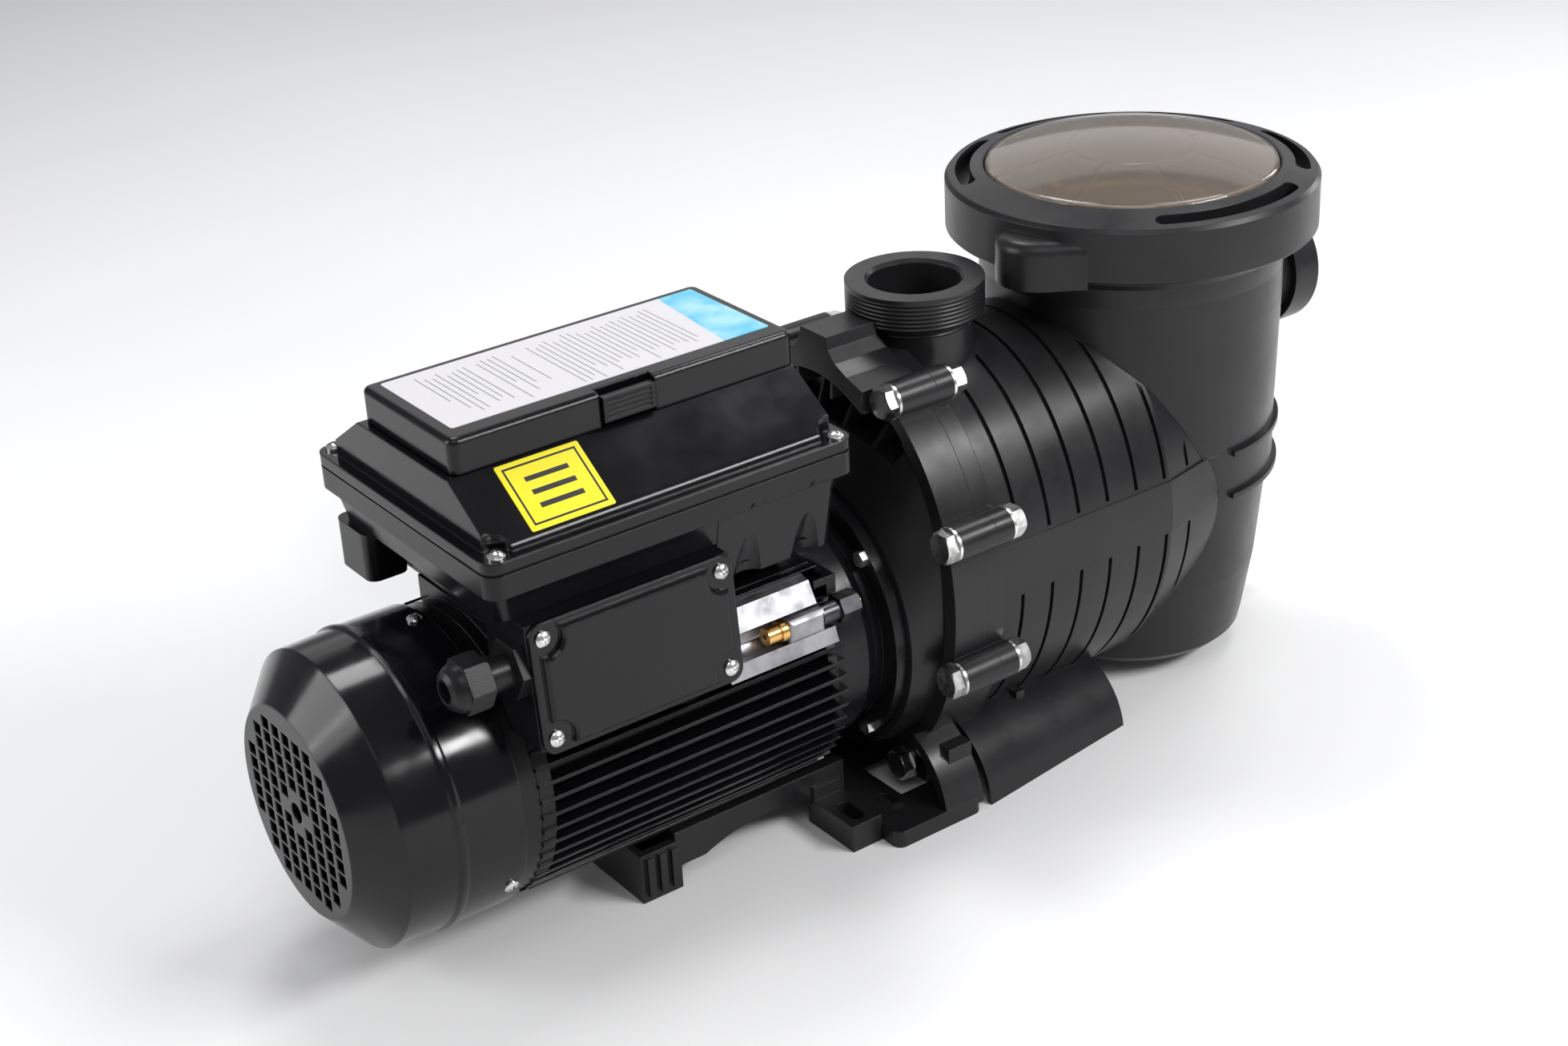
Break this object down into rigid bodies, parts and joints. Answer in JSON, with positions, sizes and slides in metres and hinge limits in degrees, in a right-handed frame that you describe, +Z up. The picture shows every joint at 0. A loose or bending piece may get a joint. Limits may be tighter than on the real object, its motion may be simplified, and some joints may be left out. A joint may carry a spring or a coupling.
{
  "type": "pool pump",
  "caption": "Horizontal pool pump: finned electric motor with a controller case on top, bolted to a ribbed pump housing with a strainer pot, clear lid and lock ring.",
  "frame": {"origin": "ground level under the centre of the pump's overall length and width", "axes": "+Z up, +X along the shaft from the motor towards the strainer, +Y away from the terminal box"},
  "size_m": [0.6723, 0.22, 0.316],
  "materials": {
    "cover_black": "gloss black moulding",
    "case_black": "satin black moulding",
    "motor_black": "satin black paint on aluminium",
    "shield_metal": "painted casting with a machined rim",
    "wet_black": "satin black glass-filled moulding",
    "inner_plastic": "plain moulding",
    "basket_tan": "tan moulding",
    "zinc": "bright zinc plate",
    "steel": "ground steel",
    "lamination": "laminated steel",
    "copper": "enamelled copper",
    "brass": "turned brass",
    "dark_nut": "blackened steel",
    "gland_plastic": "black nylon",
    "rubber": "moulded rubber",
    "seal_faces": "lapped carbon and ceramic",
    "board_green": "glass-fibre board",
    "components": "electronic components",
    "window": "tinted display window",
    "button_grey": "soft-touch button",
    "label_white": "printed film",
    "label_yellow": "printed film",
    "lid_clear": "smoky clear moulding"
  },
  "bodies": {
    "pump": {"fan_cover": "cover_black", "terminal_box_cover": "cover_black", "controller_cover": "cover_black", "controller_housing": "case_black", "terminal_box": "case_black", "keypad_panel": "case_black", "motor_frame": "motor_black", "rear_end_shield": "shield_metal", "front_end_shield": "shield_metal", "seal_plate": "wet_black", "strainer_housing": "wet_black", "strainer_pot": "wet_black", "motor_base": "wet_black", "diffuser": "inner_plastic", "fan_cover_screws": "zinc", "flange_screws": "zinc", "terminal_box_screws": "zinc", "controller_screws": "zinc", "housing_bolts": "zinc", "bolt_washers": "zinc", "housing_nuts": "zinc", "bearings": "steel", "earth_bracket": "steel", "earth_clamp": "steel", "stator_core": "lamination", "stator_windings": "copper", "earth_screw": "brass", "earth_nut": "dark_nut", "gland_locknut": "gland_plastic", "gland_body": "gland_plastic", "gland_cap_nut": "gland_plastic", "terminal_box_gasket": "rubber", "gland_seal": "rubber", "controller_gasket": "rubber", "housing_o_ring": "rubber", "lid_o_ring": "rubber", "motor_cushion": "rubber", "mechanical_seal_seat": "seal_faces", "circuit_board": "board_green", "board_components": "components", "display_window": "window", "caution_plate": "label_yellow"},
    "rotor": {"shaft": "steel", "rotor_core": "lamination", "cooling_fan": "inner_plastic", "impeller": "inner_plastic", "mechanical_seal_head": "seal_faces"},
    "flip_lid": {"keypad_lid": "cover_black", "rating_label": "label_white", "lid_hinge_pins": "zinc"},
    "catch": {"lid_latch": "case_black"},
    "down_button": {"button_down": "button_grey"},
    "up_button": {"button_up": "button_grey"},
    "run_button": {"button_run": "button_grey"},
    "clear_lid": {"strainer_lid": "lid_clear"},
    "ring": {"lock_ring": "wet_black"},
    "basket": {"strainer_basket": "basket_tan"},
    "handle": {"basket_handle": "basket_tan"},
    "drain_seal": {"drain_o_ring": "rubber"},
    "drain": {"drain_plug": "wet_black"}
  },
  "joints": [
    {"name": "shaft_spin", "type": "hinge", "parent": "pump", "child": "rotor", "pos_m": [0, 0, 0.1], "axis": [1, 0, 0], "continuous": true},
    {"name": "flip_lid_hinge", "type": "hinge", "parent": "pump", "child": "flip_lid", "pos_m": [-0.1535, 0.047, 0.2765], "axis": [-1, 0, 0], "range_deg": [0, 100]},
    {"name": "catch_push", "type": "slide", "parent": "flip_lid", "child": "catch", "axis": [0, 1, 0], "range_m": [0, 0.002], "stiffness_N_per_m": 800, "springref_m": -0.0006},
    {"name": "down_press", "type": "slide", "parent": "pump", "child": "down_button", "axis": [0, 0, -1], "range_m": [0, 0.0012], "stiffness_N_per_m": 400, "springref_m": -0.0006},
    {"name": "up_press", "type": "slide", "parent": "pump", "child": "up_button", "axis": [0, 0, -1], "range_m": [0, 0.0012], "stiffness_N_per_m": 400, "springref_m": -0.0006},
    {"name": "run_press", "type": "slide", "parent": "pump", "child": "run_button", "axis": [0, 0, -1], "range_m": [0, 0.0012], "stiffness_N_per_m": 400, "springref_m": -0.0006},
    {"name": "lid_lift", "type": "slide", "parent": "pump", "child": "clear_lid", "axis": [0, 0, 1], "range_m": [0, 0.26]},
    {"name": "ring_turn", "type": "hinge", "parent": "clear_lid", "child": "ring", "pos_m": [0.218, 0, 0.28], "axis": [0, 0, 1], "range_deg": [0, 120]},
    {"name": "basket_lift", "type": "slide", "parent": "pump", "child": "basket", "axis": [0, 0, 1], "range_m": [0, 0.156]},
    {"name": "handle_swing", "type": "hinge", "parent": "basket", "child": "handle", "pos_m": [0.218, 0, 0.266], "axis": [0, -1, 0], "range_deg": [0, 90]},
    {"name": "drain_slide", "type": "slide", "parent": "pump", "child": "drain_seal", "axis": [1, 0, 0], "range_m": [0, 0.015]},
    {"name": "drain_turn", "type": "hinge", "parent": "drain_seal", "child": "drain", "pos_m": [0.295, 0, 0.03], "axis": [1, 0, 0], "range_deg": [0, 2160]}
  ],
  "couplings": [
    {"joint": "basket_lift", "follows": "lid_lift", "ratio": 0.6},
    {"joint": "handle_swing", "follows": "lid_lift", "rad_per_m": 6.0415},
    {"joint": "drain_turn", "follows": "drain_slide", "rad_per_m": 2513.3}
  ]
}
